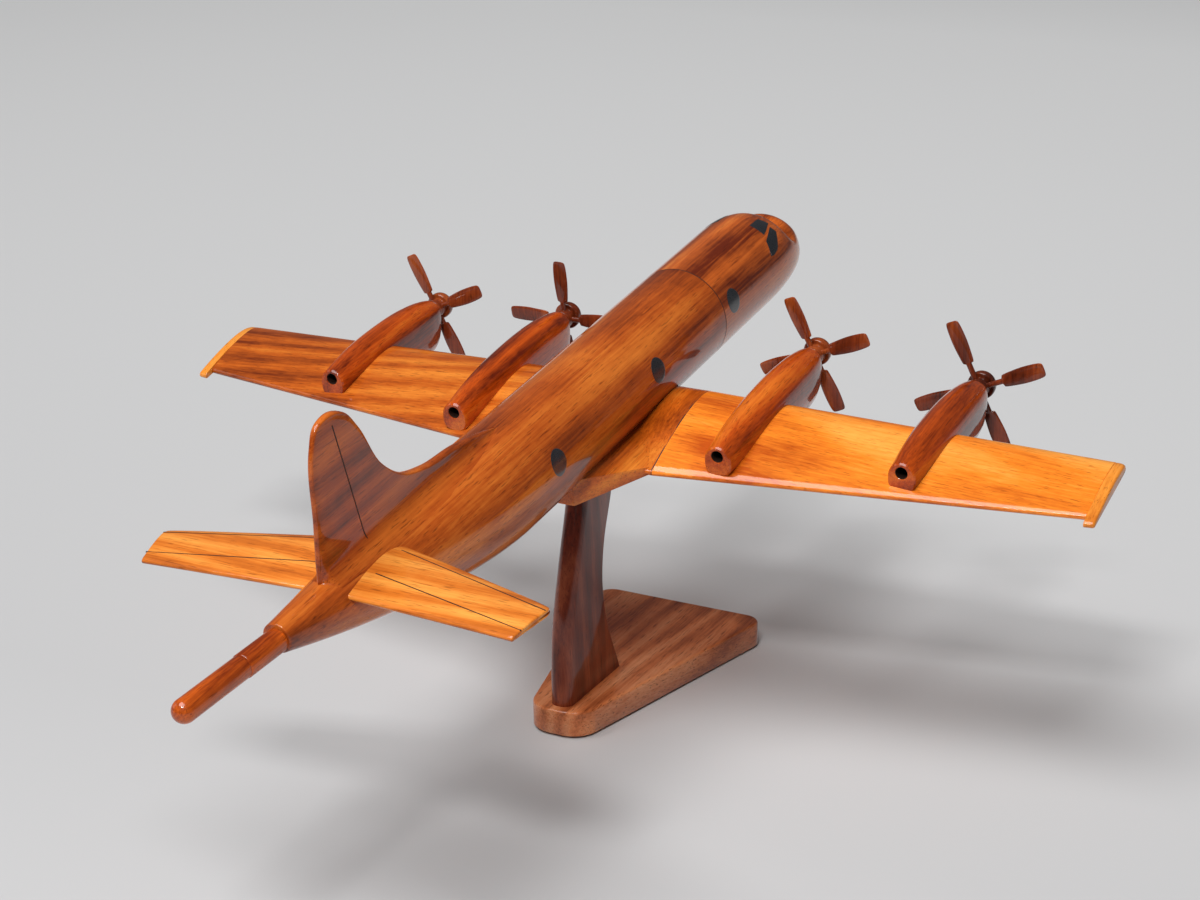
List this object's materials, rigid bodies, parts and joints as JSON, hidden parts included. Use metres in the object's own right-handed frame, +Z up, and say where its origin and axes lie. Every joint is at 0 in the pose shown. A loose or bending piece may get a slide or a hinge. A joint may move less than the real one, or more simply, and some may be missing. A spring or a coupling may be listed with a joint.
{
  "type": "desktop aircraft model",
  "caption": "Carved, varnished wooden desk model of a propeller patrol aeroplane with a tail boom; it lifts off pegs on a leaning column and tapered base, and its propellers turn.",
  "frame": {"origin": "middle of the base's length on the symmetry plane, on the underside of the felt, where the model stands on the desk", "axes": "+Z up from the desk; +Y aft along the model, so the nose points to -Y; +X to the aeroplane's port side"},
  "size_m": [0.4218, 0.4791, 0.1947],
  "materials": {
    "body_wood": "clear gloss varnish over carved red-brown wood, long grain",
    "wing_wood": "clear gloss varnish over orange-brown wood, grain along the span",
    "cap_wood": "clear gloss varnish over pale plain wood",
    "nacelle_wood": "clear gloss varnish over red-brown wood",
    "propeller_wood": "clear gloss varnish over dark brown wood",
    "stand_wood": "clear gloss varnish over brown wood",
    "dark_inlay": "gloss, near black",
    "dowel_wood": "bare",
    "pin_steel": "plain",
    "felt": "short pile"
  },
  "bodies": {
    "stand": {"base_plate": "stand_wood", "base_felt": "felt", "stand_column": "stand_wood", "column_screws": "pin_steel", "stand_pegs": "dowel_wood"},
    "airframe": {"nose_dowel": "dowel_wood", "wing_dowels": "dowel_wood", "fin_dowels": "dowel_wood", "tailplane_dowels": "dowel_wood", "boom_dowel": "dowel_wood", "fuselage_nose": "body_wood", "fuselage_main": "body_wood", "fin": "body_wood", "tail_boom_root": "body_wood", "tail_boom_tip": "body_wood", "cockpit_panes": "dark_inlay", "cabin_windows_port": "dark_inlay", "cabin_windows_starboard": "dark_inlay", "wing_centre": "wing_wood", "wing_port": "wing_wood", "wing_starboard": "wing_wood", "tailplane_port": "wing_wood", "tailplane_starboard": "wing_wood", "wing_tip_port": "cap_wood", "wing_tip_starboard": "cap_wood", "nacelle_port_outer": "nacelle_wood", "propeller_port_outer_pin": "pin_steel", "nacelle_port_inner": "nacelle_wood", "propeller_port_inner_pin": "pin_steel", "nacelle_starboard_inner": "nacelle_wood", "propeller_starboard_inner_pin": "pin_steel", "nacelle_starboard_outer": "nacelle_wood", "propeller_starboard_outer_pin": "pin_steel"},
    "propeller_port_outer": {"propeller_port_outer_hub": "propeller_wood", "propeller_port_outer_spinner": "propeller_wood", "propeller_port_outer_blades": "propeller_wood"},
    "propeller_port_inner": {"propeller_port_inner_hub": "propeller_wood", "propeller_port_inner_spinner": "propeller_wood", "propeller_port_inner_blades": "propeller_wood"},
    "propeller_starboard_inner": {"propeller_starboard_inner_hub": "propeller_wood", "propeller_starboard_inner_spinner": "propeller_wood", "propeller_starboard_inner_blades": "propeller_wood"},
    "propeller_starboard_outer": {"propeller_starboard_outer_hub": "propeller_wood", "propeller_starboard_outer_spinner": "propeller_wood", "propeller_starboard_outer_blades": "propeller_wood"}
  },
  "joints": [
    {"name": "airframe_lift_off", "type": "slide", "parent": "stand", "child": "airframe", "axis": [0, 0.1236, 0.9923], "range_m": [0, 0.015]},
    {"name": "propeller_port_outer_spin", "type": "hinge", "parent": "airframe", "child": "propeller_port_outer", "pos_m": [0.1338, -0.07336, 0.13211], "axis": [0, 0.9974, -0.0715], "continuous": true},
    {"name": "propeller_port_inner_spin", "type": "hinge", "parent": "airframe", "child": "propeller_port_inner", "pos_m": [0.0614, -0.0663, 0.1388], "axis": [0, 0.9923, -0.1236], "continuous": true},
    {"name": "propeller_starboard_inner_spin", "type": "hinge", "parent": "airframe", "child": "propeller_starboard_inner", "pos_m": [-0.0614, -0.0663, 0.1388], "axis": [0, 0.9923, -0.1236], "continuous": true},
    {"name": "propeller_starboard_outer_spin", "type": "hinge", "parent": "airframe", "child": "propeller_starboard_outer", "pos_m": [-0.1338, -0.07336, 0.13211], "axis": [0, 0.9974, -0.0715], "continuous": true}
  ]
}
